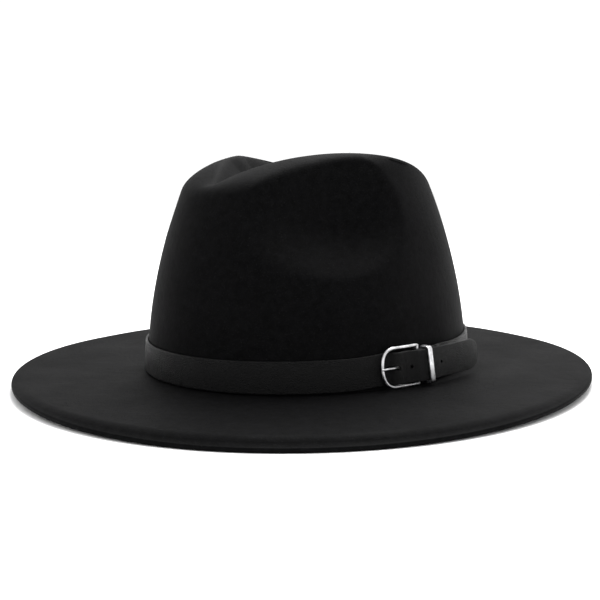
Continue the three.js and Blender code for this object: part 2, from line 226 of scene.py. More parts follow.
# %% Helpers for Geometry Nodes


# A tree with its named inputs
def new_tree(name, inputs):
    tree = bpy.data.node_groups.new(name, "GeometryNodeTree")
    tree.interface.new_socket("Geometry", in_out="INPUT", socket_type="NodeSocketGeometry")
    for label, kind in inputs.items():
        tree.interface.new_socket(label, in_out="INPUT", socket_type="NodeSocket" + kind)
    tree.interface.new_socket("Geometry", in_out="OUTPUT", socket_type="NodeSocketGeometry")
    return tree, tree.nodes.new("NodeGroupInput").outputs


# The end of a tree: real, smooth geometry with its material
def close_tree(tree, geometry, material):
    real = add_node(tree, "GeometryNodeRealizeInstances", {"Geometry": geometry}).outputs[0]
    smooth = add_node(tree, "GeometryNodeSetShadeSmooth", {"Geometry": real}).outputs[0]
    coated = add_node(tree, "GeometryNodeSetMaterial", {"Geometry": smooth, "Material": material}).outputs[0]
    tree.links.new(coated, tree.nodes.new("NodeGroupOutput").inputs["Geometry"])


# The object with its modifiers worked in
def as_plain_mesh(piece, name):
    depsgraph = bpy.context.evaluated_depsgraph_get()
    mesh = bpy.data.meshes.new_from_object(piece.evaluated_get(depsgraph))
    finished = bpy.data.objects.new(name, mesh)
    scene.collection.objects.link(finished)
    bpy.data.objects.remove(piece)
    return finished


# A piece grown from a base by a tree
def grow(name, base, tree, values):
    modifier = base.modifiers.new("grow", "NODES")
    modifier.node_group = tree
    for socket in tree.interface.items_tree:
        if socket.name in values:
            modifier[socket.identifier] = values[socket.name]
    return as_plain_mesh(base, name)


# %% [markdown]
# Black wool felt is matte, but its surface is a nap of short fibres that catches light at a flat angle,
# so it looks deep black face on and charcoal where it turns away. A low gloss, a touch of sheen and the
# nap that comes last give that. The rest is small: the relief of matted fibres, a coarser mottling from
# the fulling, and faint lighter tips.

# %% The felt's finish
FELT_LOOK = {
    "dark": (0.0008, 0.0008, 0.0009, 1), "light": (0.003, 0.003, 0.0033, 1),
    "tip": (0.008, 0.008, 0.0085, 1),
}
FELT_CELLS = {"fibres": 1500, "fulling": 260, "cloud": 28, "tips": 1900}
FELT_SHADES = (0.14, 0.4)
FELT_TIPS = (0.66, 0.74)
FELT_ROUGHNESS = (0.62, 0.7)
FELT_FINISH = {
    "Specular IOR Level": 0.036, "Sheen Weight": 0.006, "Sheen Roughness": 0.35,
    "Sheen Tint": (0.95, 0.95, 1, 1),
}
FELT_RELIEF = {"fibres": (0.5, 0.0002), "fulling": (0.35, 0.0005), "cloud": (0.2, 0.0014)}


# Matted wool, with the colours of a look
def felt_material(name, look):
    material, tree, shader = new_material(name)
    place = add_node(tree, "ShaderNodeTexCoord").outputs["Object"]
    fibres = noise(tree, place, FELT_CELLS["fibres"], detail=4, roughness=0.7, distortion=0.6)
    fulling = noise(tree, place, FELT_CELLS["fulling"], detail=3, roughness=0.6)
    cloud = noise(tree, place, FELT_CELLS["cloud"], detail=2)
    tips = noise(tree, place, FELT_CELLS["tips"], detail=1, roughness=0.4)
    shade = map_range(tree, number_math(tree, "MULTIPLY", fibres, fulling), *FELT_SHADES, 0, 1)
    black = mixed(tree, COLOUR_MIX, shade, look["dark"], look["light"])
    flecked = mixed(tree, COLOUR_MIX, map_range(tree, tips, *FELT_TIPS, 0, 1), black, look["tip"])
    tree.links.new(flecked, shader.inputs["Base Color"])
    tree.links.new(map_range(tree, cloud, *NOISE_SPAN, *FELT_ROUGHNESS), shader.inputs["Roughness"])
    set_finish(shader, FELT_FINISH)
    matted = bump(tree, fibres, *FELT_RELIEF["fibres"])
    mottled = bump(tree, fulling, *FELT_RELIEF["fulling"], matted)
    uneven = bump(tree, cloud, *FELT_RELIEF["cloud"], mottled)
    tree.links.new(uneven, shader.inputs["Normal"])
    return material


felt_black = felt_material("black_wool_felt", FELT_LOOK)
print("made", felt_black.name)

# %% [markdown]
# The felt body follows a rule, so it is computed. Round the hat, each direction has a profile: over the
# cut edge, in over the brim, up the bowed wall, over the shoulder to the rim of the teardrop, and down
# into the dent. The soft brim droops to the table at the front left and the back right. The two finger
# pinches then press the wall in on both sides of the front. A net of such profiles is far easier to keep
# symmetric and smooth than a sculpted hat.

# %% Sizes of the felt body, in millimetres
FELT = 2.4
BRIM = {"x": 157.1, "y": 170.8, "centre_y": -1.9, "top": 6.2, "edge": 2.5, "round_top": 1, "round_low": 0.7}
DROOP = {
    "depth": 3.7, "at": math.radians(46.6), "flat_half": math.radians(12),
    "width": 7, "rest": 2, "felt_from": 2.5,
}
CROWN_BASE = {"x": 85, "y": 100, "z": 6.5, "fold": 0.8}
CROWN_WALL = {"x": 58.6, "y": 81, "centre_y": -0.9, "bow": 9.5, "below_rim": 8.2}
RIM = {
    "half_width": 71.2, "point": 1.21, "tip_softness": 0.16,
    "centre_y": -12.1, "front_y": -70.8, "back_y": 49.9,
    "peak": 128.4, "front_drop": 19.2, "front_power": 4.45, "back_drop": 20.9, "back_power": 3.6,
}
DENT = {"floor": 100, "softness": 0.3}
PINCH = {"at": 57, "depth": 18, "half_angle": 36, "z": 95.5, "half_height": 34, "power": 1.5}
ROUNDNESS = 0.5523

# %% Curves in general
TINY = 1e-6


# A value between two others
def lerp(a, b, share):
    return a + (b - a) * share


# A soft step from 0 to 1
def smooth_step(value, low, high):
    share = np.clip((value - low) / (high - low), 0, 1)
    return share * share * (3 - 2 * share)


# A point of a curve that bends towards one middle point
def quadratic(start, middle, end, t):
    return start * (1 - t) ** 2 + middle * 2 * t * (1 - t) + end * t ** 2


# A point of a curve with a leaving and an arriving handle
def cubic(start, leave, arrive, end, t):
    return (
        start * (1 - t) ** 3 + leave * 3 * t * (1 - t) ** 2
        + arrive * 3 * t ** 2 * (1 - t) + end * t ** 3
    )


# A point of an ellipse, counted from the front
def on_ellipse(angle, x, y, z, centre_y=0.0):
    angle, z = np.broadcast_arrays(angle, z)
    return np.stack([x * np.sin(angle), centre_y - y * np.cos(angle), z.astype(float)], -1)


# The level direction out of an ellipse
def outward(angle, x, y):
    away = np.stack([np.sin(angle) / x, -np.cos(angle) / y, np.zeros_like(angle)], -1)
    return away / np.linalg.norm(away, axis=-1, keepdims=True)


# %% The crown's rim, wall, shoulder and dent


# Height of the teardrop's rim, highest at the sides
def rim_height(angle):
    front = (1 + np.cos(angle)) / 2
    back = (1 - np.cos(angle)) / 2
    front_fall = RIM["front_drop"] * front ** RIM["front_power"]
    back_fall = RIM["back_drop"] * back ** RIM["back_power"]
    return RIM["peak"] - front_fall - back_fall


# A point of the teardrop's rim, narrow at the front
def rim_point(angle):
    front = (1 + np.cos(angle)) / 2
    reach = lerp(RIM["back_y"] - RIM["centre_y"], RIM["centre_y"] - RIM["front_y"], front)
    narrowing = np.hypot(np.sin(angle / 2), RIM["tip_softness"]) ** RIM["point"]
    x = RIM["half_width"] * np.sin(angle) * narrowing
    return np.stack([x, RIM["centre_y"] - reach * np.cos(angle), rim_height(angle)], -1)


# Foot, bow and head of the crown's wall
def wall_ends(angle):
    foot = on_ellipse(angle, CROWN_BASE["x"], CROWN_BASE["y"], CROWN_BASE["z"])
    top = rim_height(angle) - CROWN_WALL["below_rim"]
    head = on_ellipse(angle, CROWN_WALL["x"], CROWN_WALL["y"], top, CROWN_WALL["centre_y"])
    away = head - np.array([0, CROWN_WALL["centre_y"], 0])
    away[..., 2] = 0
    away *= CROWN_WALL["bow"] / np.linalg.norm(away, axis=-1, keepdims=True)
    return foot, (foot + head) / 2 + away, head


# A point of the wall, by its share of the way up
def wall_point(angle, share):
    return quadratic(*wall_ends(angle), np.asarray(share)[..., None])


# A point of the wall, by its height
def wall_at(angle, height):
    top = rim_height(angle) - CROWN_WALL["below_rim"]
    return wall_point(angle, (height - CROWN_BASE["z"]) / (top - CROWN_BASE["z"]))


# A point of the rounded shoulder, from the wall's head to the rim
def shoulder_point(angle, share):
    _, middle, head = wall_ends(angle)
    rim = rim_point(angle)
    climb = head - middle
    climb = climb * (CROWN_WALL["below_rim"] * ROUNDNESS / climb[..., 2:3])
    level = (head - rim) * np.array([ROUNDNESS, ROUNDNESS, 0])
    return cubic(head, head + climb, rim + level, rim, np.asarray(share)[..., None])


# A point of the dent, from the rim in to its middle
def dent_point(angle, run):
    rim = rim_point(angle)
    soft = DENT["softness"] ** 2
    fall = run * run * (1 + soft) / (run * run + soft)
    return np.stack([
        lerp(rim[..., 0], 0, run),
        lerp(rim[..., 1], RIM["centre_y"], run),
        lerp(rim[..., 2], DENT["floor"], fall),
    ], -1)


# Points pressed in where the two fingers pinch the front
def pressed(points, height, fade):
    angle = np.degrees(np.arctan2(np.abs(points[..., 0]), -points[..., 1]))
    across = (angle - PINCH["at"]) / PINCH["half_angle"]
    up = (height - PINCH["z"]) / PINCH["half_height"]
    press = PINCH["depth"] * np.clip(1 - across ** 2 - up ** 2, 0, 1) ** PINCH["power"] * fade
    inward = points * np.array([-1, -1, 0])
    distance = np.maximum(np.linalg.norm(inward, axis=-1), TINY)
    return points + inward * (press / distance)[..., None]


print("rim heights, front and back:", rim_height(np.array([0, math.pi])).round(1))

# %% [markdown]
# The net of the felt is finest where it bends: round the brim's edge, at the foot of the crown, over
# the shoulder and in the dent. The inner skin is the same net moved in by the felt's thickness. The
# pinches fade out over the outer part of the dent, so that its floor stays smooth.

# %% The rows of the felt's net
NET = {
    "spokes": 288, "low_round": 3, "top_round": 5, "droop": 16, "brim": 20,
    "fold": 5, "wall": 56, "shoulder": 22, "dent": 40,
}
PINCH_GONE = 0.87
LEAST_FELT = FELT / 2


# How far the brim's lower edge stands off the table
def edge_lift(angle):
    clear = np.sin(angle - DROOP["at"]) ** 2 - math.sin(DROOP["flat_half"]) ** 2
    return DROOP["depth"] * np.maximum(0, clear) / math.cos(DROOP["flat_half"]) ** 2


# A point of the brim, by its distance in from the edge
def brim_point(angle, inset, height):
    edge = on_ellipse(angle, BRIM["x"], BRIM["y"], height, BRIM["centre_y"])
    return edge - outward(angle, BRIM["x"], BRIM["y"]) * inset


# The rounded cut edge, from its lower face over to the top
def edge_rows(angle):
    lift = edge_lift(angle)
    rows = [brim_point(angle, DROOP["rest"], lift)]
    for i in range(NET["low_round"] + 1):
        turn = i / NET["low_round"] * math.pi / 2
        low = BRIM["round_low"]
        rows.append(brim_point(angle, low * (1 - math.sin(turn)), lift + low * (1 - math.cos(turn))))
    for i in range(NET["top_round"] + 1):
        turn = i / NET["top_round"] * math.pi / 2
        high = BRIM["round_top"]
        up = BRIM["edge"] - high * (1 - math.sin(turn))
        rows.append(brim_point(angle, high * (1 - math.cos(turn)), lift + up))
    return rows


# The brim's top face, from the droop in to the fold at the crown's foot
def brim_rows(angle):
    fall = BRIM["top"] - BRIM["edge"] - edge_lift(angle)
    rows = []
    for i in range(NET["droop"] + 1):
        inset = lerp(DROOP["felt_from"], DROOP["width"], i / NET["droop"])
        share = (DROOP["width"] - inset) / (DROOP["width"] - BRIM["round_top"])
        rows.append(brim_point(angle, inset, BRIM["top"] - fall * share ** 2))
    foot = wall_at(angle, CROWN_BASE["z"])
    foot[..., 2] = BRIM["top"]
    fold_start = foot + outward(angle, CROWN_BASE["x"], CROWN_BASE["y"]) * CROWN_BASE["fold"]
    droop_end = rows[-1]
    rows += [lerp(droop_end, fold_start, i / NET["brim"]) for i in range(1, NET["brim"] + 1)]
    fold_end = wall_at(angle, CROWN_BASE["z"] + CROWN_BASE["fold"])
    rows += [quadratic(fold_start, foot, fold_end, i / NET["fold"]) for i in range(1, NET["fold"] + 1)]
    return rows


# The crown, from the fold up over the shoulder and into the dent
def crown_rows(angle):
    rows = []
    wall_start = CROWN_BASE["fold"] / (rim_height(angle) - CROWN_WALL["below_rim"] - CROWN_BASE["z"])
    for i in range(1, NET["wall"] + 1):
        points = wall_point(angle, lerp(wall_start, 1, i / NET["wall"]))
        rows.append(pressed(points, points[..., 2], 1))
    for i in range(1, NET["shoulder"] + 1):
        points = shoulder_point(angle, np.full_like(angle, i / NET["shoulder"]))
        rows.append(pressed(points, points[..., 2], 1))
    for i in range(1, NET["dent"]):
        run = i / NET["dent"]
        fade = 1 - smooth_step(run, 0, PINCH_GONE)
        rows.append(pressed(dent_point(angle, run), rim_height(angle), fade))
    return rows


print("the brim stands off the table by", edge_lift(np.array([DROOP["at"], -DROOP["at"]])).round(1), "mm")

# %% The felt as one closed skin


# The outward direction at each point of a net
def net_normals(net):
    around = np.roll(net, -1, axis=1) - np.roll(net, 1, axis=1)
    up = np.concatenate([net[1:2] - net[0:1], net[2:] - net[:-2], net[-1:] - net[-2:-1]])
    normal = np.cross(around, up)
    return normal / np.linalg.norm(normal, axis=-1, keepdims=True)


# The faces of a net that closes round each row, and also from the last row to the first where asked
def rings_to_faces(rows, columns, closed=False):
    faces = []
    for r in range(rows if closed else rows - 1):
        above = (r + 1) % rows
        for c in range(columns):
            after = (c + 1) % columns
            faces.append((r * columns + c, r * columns + after, above * columns + after, above * columns + c))
    return faces


# The angles of the profiles
def spokes():
    return np.arange(NET["spokes"]) / NET["spokes"] * 2 * math.pi


# Inner skin, cut edge and outer skin, in one net
def felt_net():
    angle = spokes()
    outer = np.array(brim_rows(angle) + crown_rows(angle))
    inner = outer - net_normals(outer) * FELT
    top_rows = -(NET["shoulder"] + NET["dent"])
    inner[top_rows:, :, 2] = np.minimum(inner[top_rows:, :, 2], outer[top_rows:, :, 2] - LEAST_FELT)
    return np.concatenate([inner[::-1], edge_rows(angle), outer])


# The net as one closed piece, with a point at the middle of the dent
def felt_body():
    net = felt_net()
    rows, columns = net.shape[:2]
    top = (0, RIM["centre_y"], DENT["floor"])
    under_top = (0, RIM["centre_y"], DENT["floor"] - FELT)
    points = np.concatenate([net.reshape(-1, 3), [top, under_top]])
    faces = rings_to_faces(rows, columns)
    last = (rows - 1) * columns
    top_index = rows * columns
    for c in range(columns):
        after = (c + 1) % columns
        faces.append((last + c, last + after, top_index))
        faces.append((after, c, top_index + 1))
    return new_piece("felt_body", points, faces, felt_black)


felt = felt_body()
print("felt body:", len(felt.data.polygons), "faces")

# %% [markdown]
# The strap is belt leather: a coated hide with a fine pebbled grain, half matte on its face. Voronoi
# cells make the pebbles, and a little noise bends their borders so that no two are alike. The pits
# between the pebbles are coloured darker than their domes: painted shade.

# %% The leather's finish
# The pit colour is painted shade: the pits between the pebbles are coloured darker than the domes
LEATHER_LOOK = {"painted_pit_shade": (0.0004, 0.0004, 0.0005, 1), "dome": (0.0013, 0.0013, 0.0015, 1)}
LEATHER_CELLS = {"drift": 700, "pebbles": 1150, "pores": 4200, "cloud": 90}
PEBBLES = {"bent_by": 0.0009, "uneven": 0.95, "dome_at": 0.32}
LEATHER_ROUGHNESS = (0.32, 0.44)
LEATHER_FINISH = {"Specular IOR Level": 0.14}
LEATHER_RELIEF = {"grain": (0.75, 0.0002), "pores": (0.25, 0.00004)}


# Pebbled, half matte belt leather
def leather_material():
    material, tree, shader = new_material("black_pebbled_leather")
    place = add_node(tree, "ShaderNodeTexCoord").outputs["Object"]
    drift = noise(tree, place, LEATHER_CELLS["drift"], detail=2, output="Color")
    bent = mixed(tree, VECTOR_MIX, PEBBLES["bent_by"], place, drift)
    pebbles = add_node(tree, "ShaderNodeTexVoronoi", {
        "Vector": bent, "Scale": LEATHER_CELLS["pebbles"], "Randomness": PEBBLES["uneven"],
    }, feature="DISTANCE_TO_EDGE").outputs["Distance"]
    domes = map_range(tree, pebbles, 0, PEBBLES["dome_at"], 0, 1)
    pores = noise(tree, place, LEATHER_CELLS["pores"], detail=2)
    cloud = noise(tree, place, LEATHER_CELLS["cloud"], detail=2)
    # Darker colour in the pits between the pebbles: painted shade
    black = mixed(tree, COLOUR_MIX, domes, LEATHER_LOOK["painted_pit_shade"], LEATHER_LOOK["dome"])
    tree.links.new(black, shader.inputs["Base Color"])
    tree.links.new(map_range(tree, cloud, *NOISE_SPAN, *LEATHER_ROUGHNESS), shader.inputs["Roughness"])
    set_finish(shader, LEATHER_FINISH)
    grain = bump(tree, domes, *LEATHER_RELIEF["grain"])
    pored = bump(tree, pores, *LEATHER_RELIEF["pores"], grain)
    tree.links.new(pored, shader.inputs["Normal"])
    return material


strap_leather = leather_material()
print("made", strap_leather.name)

# %% [markdown]
# The strap is one piece. Its fixed end comes round the back of the crown and is folded round the
# buckle's heel bar. Its free end comes round the front, passes under the curved bar, lets the prong
# through, crosses over the heel bar, runs through the keeper and ends in a rounded tail that stands
# a little off the felt. Distances along the crown are counted from the heel bar, positive to the back,
# and each row of FLAP, LEAVING and ENTERING says how far along and how far off the felt the strap's
# middle is.

# %% Sizes of the strap, in millimetres
STRAP = {
    "width": 16.4, "thick": 1.4, "middle": 16, "edge": 0.35, "flat_from": 0.35,
    "buckle_rise": 1.3, "rise_flat": 6, "rise_reach": 42, "back_tilt": 0.009,
}
GAP = 0.3
HUG = GAP + STRAP["thick"] / 2
WIRE = 0.85
HEEL_ANGLE = math.radians(86.9)
BUCKLE_Z = 17.3
FRAME_OFF = GAP + STRAP["thick"] + GAP + WIRE
FOLD_RADIUS = WIRE + GAP + STRAP["thick"] / 2
OVER_BAR = 6.5
FLAP = [(13, HUG), (8, HUG), (3, HUG)]
LEAVING = [(3, 4.7), (7.2, 4.7), (10, 3.8), (12.8, 2.75), (15, 2.7), (18, 1.8), (21, HUG)]
ENTERING = [
    (-26, HUG), (-19.8, HUG), (-18.4, 1.3), (-17.4, 2.3), (-16.6, 3.4), (-15.7, 4.3), (-14, 4.8),
    (-10, 4.55), (-6, 5.2), (-3, 6.2), (0, OVER_BAR), (6, OVER_BAR), (12, 6.6), (20, 7.1), (30, 8.2),
    (38, 9.3),
]
TAIL = {"end": 48, "tip_length": 9, "rise": 0.13, "tip_half": 1.6}
HOLE = {"radius": 0.9, "places": (-7, 13.4), "depth": 9.5}
SLOT = {"at": -16.8, "length": 6, "width": 2}
EYE_ROOM = {"along": 5.8, "height": 2.2, "off": 5.5, "shift": -0.2}
STRAP_NET = {"per_mm": 1.4, "fold": 8, "round_back": 40, "edge": 3, "inner_line": 0.4, "cut": 24}
SHARP_FROM = math.radians(40)
FULL_TURN = 2 * math.pi * CROWN_BASE["y"]

# %% The strap's route


# A point beside the crown, along it and off it
def beside(along, off, height):
    along, off, height = np.broadcast_arrays(np.asarray(along, float), off, height)
    angle = HEEL_ANGLE + along / CROWN_BASE["y"]
    return wall_at(angle, height) + outward(angle, CROWN_BASE["x"], CROWN_BASE["y"]) * off[..., None]


# A smooth line through the points of a route
def smooth_route(points):
    points = np.array(points, float)
    dense = []
    for i in range(len(points) - 1):
        before = points[max(i - 1, 0)]
        start, end = points[i], points[i + 1]
        after = points[min(i + 2, len(points) - 1)]
        length = np.linalg.norm(end - start)
        leave = (end - before) / max(np.linalg.norm(end - before), TINY) * length
        arrive = (after - start) / max(np.linalg.norm(after - start), TINY) * length
        steps = max(2, int(length * STRAP_NET["per_mm"]))
        for s in range(steps):
            t = s / steps
            dense.append(
                start * (2 * t ** 3 - 3 * t ** 2 + 1) + leave * (t ** 3 - 2 * t ** 2 + t)
                + end * (3 * t ** 2 - 2 * t ** 3) + arrive * (t ** 3 - t ** 2)
            )
    dense.append(points[-1])
    return np.array(dense)


# The whole way of the strap, from its flap to its tail
def strap_route():
    fold = []
    for i in range(STRAP_NET["fold"] + 1):
        swing = i / STRAP_NET["fold"] * math.pi
        fold.append((-FOLD_RADIUS * math.sin(swing), FRAME_OFF - FOLD_RADIUS * math.cos(swing)))
    back_from = LEAVING[-1][0]
    back_to = ENTERING[0][0] + FULL_TURN
    round_back = [(along, HUG) for along in np.linspace(back_from, back_to, STRAP_NET["round_back"])[1:-1]]
    free = [(along + FULL_TURN, off) for along, off in ENTERING]
    tip_off = ENTERING[-1][1] + (TAIL["end"] - ENTERING[-1][0]) * TAIL["rise"]
    free.append((TAIL["end"] + FULL_TURN, tip_off))
    return smooth_route(FLAP + fold + LEAVING + round_back + free)


route = strap_route()
print("strap route:", len(route), "stations,", round(float(np.abs(np.diff(route[:, 0])).sum())), "mm long")

# %% The strap's width and section


# Height of the strap's middle line
def strap_middle(from_bar, is_tail):
    y = beside(from_bar, 0.0, STRAP["middle"])[..., 1]
    near = np.where(is_tail, 1, 1 - smooth_step(np.abs(from_bar), STRAP["rise_flat"], STRAP["rise_reach"]))
    return STRAP["middle"] + lerp(STRAP["back_tilt"] * y, STRAP["buckle_rise"], near)


# Half the strap's width, with the rounded tail
def strap_half_width(from_bar, is_tail):
    into = np.where(is_tail, from_bar - (TAIL["end"] - TAIL["tip_length"]), 0)
    left = np.sqrt(np.clip(1 - np.clip(into / TAIL["tip_length"], 0, 1) ** 2, 0, 1))
    return lerp(TAIL["tip_half"], STRAP["width"] / 2, left)


# The strap's section: off its middle, share of its half width, and nudge
def strap_section():
    half_thick = STRAP["thick"] / 2
    edge = STRAP["edge"]
    near_edge = edge + STRAP["flat_from"]
    section = []
    for face in (1, -1):
        side = []
        for step in range(STRAP_NET["edge"] + 1):
            turn = math.pi / 2 * (1 - step / STRAP_NET["edge"])
            off = half_thick - edge + edge * math.cos(turn)
            side.append((face * off, 1, edge * (math.sin(turn) - 1)))
        side += [(face * half_thick, 1, -near_edge), (face * half_thick, STRAP_NET["inner_line"], 0)]
        side += [(off, -share, -nudge) for off, share, nudge in reversed(side)]
        section += side if face > 0 else side[::-1]
    return section


print("points round the strap's section:", len(strap_section()))

# %% The strap as a closed ribbon


# The section carried along the route
def ribbon(route, section):
    ahead = np.concatenate([route[1:2] - route[0:1], route[2:] - route[:-2], route[-1:] - route[-2:-1]])
    ahead /= np.linalg.norm(ahead, axis=1, keepdims=True)
    side = np.stack([-ahead[:, 1], ahead[:, 0]], 1)
    is_free = route[:, 0] > FULL_TURN / 2
    from_bar = np.where(is_free, route[:, 0] - FULL_TURN, route[:, 0])
    middle = strap_middle(from_bar, is_free & (from_bar > 0))
    half = strap_half_width(from_bar, is_free)
    rings = []
    for face, share, nudge in section:
        along = route[:, 0] + face * side[:, 0]
        off = route[:, 1] + face * side[:, 1]
        rings.append(beside(along, off, middle + share * half + nudge))
    return np.stack(rings, 1)


# The strap before it is punched
def whole_strap():
    rings = ribbon(route, strap_section())
    rows, columns = rings.shape[:2]
    faces = rings_to_faces(rows, columns)
    faces.append(tuple(reversed(range(columns))))
    faces.append(tuple((rows - 1) * columns + i for i in range(columns)))
    return new_piece("whole_strap", rings.reshape(-1, 3), faces, strap_leather)


# %% The strap's holes


# A round or long punch for the strap
def cutter(along, length, width, low, high):
    steps = STRAP_NET["cut"]
    straight = (length - width) / 2
    turn = np.linspace(0, 2 * math.pi, steps, endpoint=False) + math.pi / steps
    reach = np.cos(turn) * width / 2 + np.sign(np.cos(turn)) * straight
    rise = np.sin(turn) * width / 2
    angle = HEEL_ANGLE + along / CROWN_BASE["y"]
    out = outward(angle, CROWN_BASE["x"], CROWN_BASE["y"])
    aside = np.cross((0, 0, 1), out)
    start = beside(along, 0.0, BUCKLE_Z)
    rim = start + reach[:, None] * aside + rise[:, None] * np.array([0, 0, 1])
    rings = np.concatenate([rim + out * low, rim + out * high])
    faces = rings_to_faces(2, steps)
    faces += [tuple(range(steps))[::-1], tuple(range(steps, 2 * steps))]
    return new_piece("cutter", rings, faces)


# The punches for two holes, the prong's slot and the eye's room
def strap_cutters():
    bore = 2 * HOLE["radius"]
    cutters = [cutter(along, bore, bore, 0, HOLE["depth"]) for along in HOLE["places"]]
    cutters.append(cutter(SLOT["at"], SLOT["length"], SLOT["width"], 0, HOLE["depth"]))
    low = FRAME_OFF - EYE_ROOM["off"] / 2
    high = FRAME_OFF + EYE_ROOM["off"] / 2
    cutters.append(cutter(EYE_ROOM["shift"], EYE_ROOM["along"], EYE_ROOM["height"], low, high))
    return cutters


# The strap with its holes
def punched(whole, cutters):
    for shape in cutters:
        punch = whole.modifiers.new("punch", "BOOLEAN")
        punch.operation = "DIFFERENCE"
        punch.solver = "EXACT"
        punch.object = shape
    strap = as_plain_mesh(whole, "strap")
    for shape in cutters:
        bpy.data.objects.remove(shape)
    strap.data.set_sharp_from_angle(angle=SHARP_FROM)
    return strap


strap = punched(whole_strap(), strap_cutters())
print("strap:", len(strap.data.polygons), "faces,", len(strap.data.vertices), "points")

# %% [markdown]
# The buckle is bent from plated wire and its keeper from a flat metal strip. The plating is satin rather
# than a mirror: fine marks of tumbling and wear spread each reflection.

# %% The metal's finish
METAL_LOOK = {"worn": (0.5, 0.5, 0.51, 1), "bright": (0.78, 0.78, 0.79, 1)}
METAL_CELLS = {"marks": 1400, "wear": 260}
METAL_WEAR = (0.35, 0.6)
METAL_ROUGHNESS = (0.24, 0.42)
METAL_FINISH = {"Metallic": 1}
METAL_RELIEF = (0.3, 0.00006)


# Satin plating with fine marks
def metal_material():
    material, tree, shader = new_material("bright_plated_metal")
    place = add_node(tree, "ShaderNodeTexCoord").outputs["Object"]
    marks = noise(tree, place, METAL_CELLS["marks"], detail=3, distortion=0.5)
    wear = map_range(tree, noise(tree, place, METAL_CELLS["wear"], detail=2), *METAL_WEAR, 0, 1)
    plated = mixed(tree, COLOUR_MIX, wear, METAL_LOOK["worn"], METAL_LOOK["bright"])
    tree.links.new(plated, shader.inputs["Base Color"])
    tree.links.new(map_range(tree, marks, *NOISE_SPAN, *METAL_ROUGHNESS), shader.inputs["Roughness"])
    set_finish(shader, METAL_FINISH)
    tree.links.new(bump(tree, marks, *METAL_RELIEF), shader.inputs["Normal"])
    return material


plated_metal = metal_material()
print("made", plated_metal.name)

# %% [markdown]
# The frame is a D of wire with a hidden heel bar, and the prong is a wire with an eye round that bar. Both
# are paths beside the crown, so a tree sweeps a round section along them. The prong's tip is rounded by
# letting the section shrink over its last part, down to a small cap.

# %% The wires of the buckle
FRAME = {
    "length": 23.2, "height": 19.8, "straight": 15.5,
    "corner_in": 0.7, "round_top": 0.71, "round_side": 0.6,
}
PRONG = {
    "radius": 0.6, "past": 1.1, "tip_drop": 0.5, "shares": (0.2, 0.5, 0.8, 1),
    "eye_from": 165, "eye_to": -90, "eye_step": 15,
}
WIRE_NET = {"sides": 16, "spacing": 0.35, "bow": 12}
TIP_LEFT = 0.02


# A tree that sweeps a wire along a path
def wire_tree():
    tree, given = new_tree("bent_wire", {
        "Radius": "Float", "Sides": "Int", "Spacing": "Float", "Tip": "Float",
    })
    line = add_node(tree, "GeometryNodeMeshToCurve", {"Mesh": given["Geometry"]}).outputs["Curve"]
    bent = add_node(tree, "GeometryNodeCurveSplineType", {"Curve": line}, spline_type="CATMULL_ROM")
    even = add_node(tree, "GeometryNodeResampleCurve", {
        "Curve": bent.outputs["Curve"], "Length": given["Spacing"],
    }, mode="LENGTH")
    reach = add_node(tree, "GeometryNodeSplineParameter").outputs["Length"]
    whole = add_node(tree, "GeometryNodeSplineLength").outputs["Length"]
    into_tip = map_range(tree, number_math(tree, "SUBTRACT", whole, reach), 0, given["Tip"], 1, 0)
    square = number_math(tree, "MULTIPLY", into_tip, into_tip)
    slim = number_math(tree, "SQRT", number_math(tree, "SUBTRACT", 1 + TIP_LEFT, square))
    tipped = add_node(tree, "GeometryNodeSetCurveRadius", {"Curve": even.outputs["Curve"], "Radius": slim})
    section = add_node(tree, "GeometryNodeCurvePrimitiveCircle", {
        "Resolution": given["Sides"], "Radius": given["Radius"],
    }).outputs["Curve"]
    tube = add_node(tree, "GeometryNodeCurveToMesh", {
        "Curve": tipped.outputs["Curve"], "Profile Curve": section, "Fill Caps": True,
    }).outputs["Mesh"]
    close_tree(tree, tube, plated_metal)
    return tree


bent_wire = wire_tree()
print("made the tree", bent_wire.name)

# %% The buckle's frame and prong


# A wire bent along points
def wire_piece(name, points, closed, radius, tip):
    count = len(points)
    edges = [(i, (i + 1) % count) for i in range(count if closed else count - 1)]
    path = new_piece(name + "_path", points, [], edges=edges)
    return grow(name, path, bent_wire, {
        "Radius": radius * MM, "Sides": WIRE_NET["sides"],
        "Spacing": WIRE_NET["spacing"] * MM, "Tip": tip * MM,
    })


# The D of the buckle's frame
def frame_points():
    half = FRAME["height"] / 2
    corner = FRAME["corner_in"]
    start = np.array([-FRAME["straight"], half])
    leave = np.array([lerp(-FRAME["straight"], -FRAME["length"], FRAME["round_top"]), half])
    arrive = np.array([-FRAME["length"], half * FRAME["round_side"]])
    end = np.array([-FRAME["length"], 0])
    top = [(0, half / 2), (0, half - corner), (-corner, half), (-FRAME["straight"] / 2, half)]
    top += [cubic(start, leave, arrive, end, t) for t in np.linspace(0, 1, WIRE_NET["bow"] + 1)]
    low = [(along, -up) for along, up in top[-2::-1]]
    return [beside(float(along), FRAME_OFF, BUCKLE_Z + up) for along, up in top + low]


# The prong, from its eye to its tip
def prong_points():
    eye = WIRE + GAP + PRONG["radius"]
    points = []
    for degrees in range(PRONG["eye_from"], PRONG["eye_to"] - 1, -PRONG["eye_step"]):
        turn = math.radians(degrees)
        points.append(beside(eye * math.cos(turn), FRAME_OFF + eye * math.sin(turn), BUCKLE_Z))
    for share in PRONG["shares"]:
        off = lerp(FRAME_OFF - eye, FRAME_OFF + eye, share)
        points.append(beside(-FRAME["length"] * share, off, BUCKLE_Z))
    tip_off = FRAME_OFF + eye - PRONG["tip_drop"] / 2
    points.append(beside(-FRAME["length"] - PRONG["past"], tip_off, BUCKLE_Z))
    return points


buckle_frame = wire_piece("bent_frame", frame_points(), True, WIRE, 0)
buckle_prong = wire_piece("bent_prong", prong_points(), False, PRONG["radius"], PRONG["radius"])
print("frame and prong:", len(buckle_frame.data.polygons), len(buckle_prong.data.polygons), "faces")

